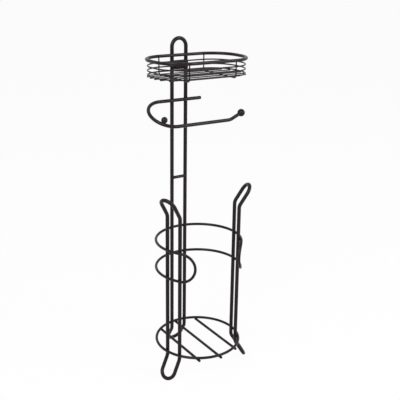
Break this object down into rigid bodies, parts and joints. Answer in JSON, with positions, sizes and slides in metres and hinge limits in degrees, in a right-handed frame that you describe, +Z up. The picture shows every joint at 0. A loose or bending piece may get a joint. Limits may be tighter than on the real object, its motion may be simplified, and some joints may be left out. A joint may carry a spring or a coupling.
{
  "type": "toilet paper holder",
  "caption": "Free-standing wire toilet paper holder: hairpin-loop post with an oblong wire tray and a hooked roll arm, above a round cage for spare rolls.",
  "frame": {"origin": "on the floor, on the axis of the base ring", "axes": "+Z up, +Y to the back where the tall post stands, +X to the right seen from the front"},
  "size_m": [0.1806, 0.1714, 0.5863],
  "materials": {
    "bronze_coat": "satin dark bronze powder coat on steel wire",
    "screw_steel": "blackened steel"
  },
  "bodies": {
    "root": {"arm_end_ball": "bronze_coat", "back_post": "bronze_coat", "base_bar_centre": "bronze_coat", "base_bar_left": "bronze_coat", "base_bar_right": "bronze_coat", "base_ring": "bronze_coat", "left_leg": "bronze_coat", "post_plate": "bronze_coat", "post_rung": "bronze_coat", "right_leg": "bronze_coat", "roll_arm": "bronze_coat", "roll_guard": "bronze_coat", "roll_stop_ball": "bronze_coat", "roll_stop_pin": "bronze_coat", "tray_bottom_wire": "bronze_coat", "tray_floor_wire_1": "bronze_coat", "tray_floor_wire_2": "bronze_coat", "tray_floor_wire_3": "bronze_coat", "tray_floor_wire_4": "bronze_coat", "tray_floor_wire_5": "bronze_coat", "tray_floor_wire_6": "bronze_coat", "tray_lower_wire": "bronze_coat", "tray_plate": "bronze_coat", "tray_rib_left": "bronze_coat", "tray_rib_right": "bronze_coat", "tray_rim": "bronze_coat", "tray_screw_left": "screw_steel", "tray_screw_right": "screw_steel", "tray_upper_wire": "bronze_coat"}
  },
  "joints": []
}
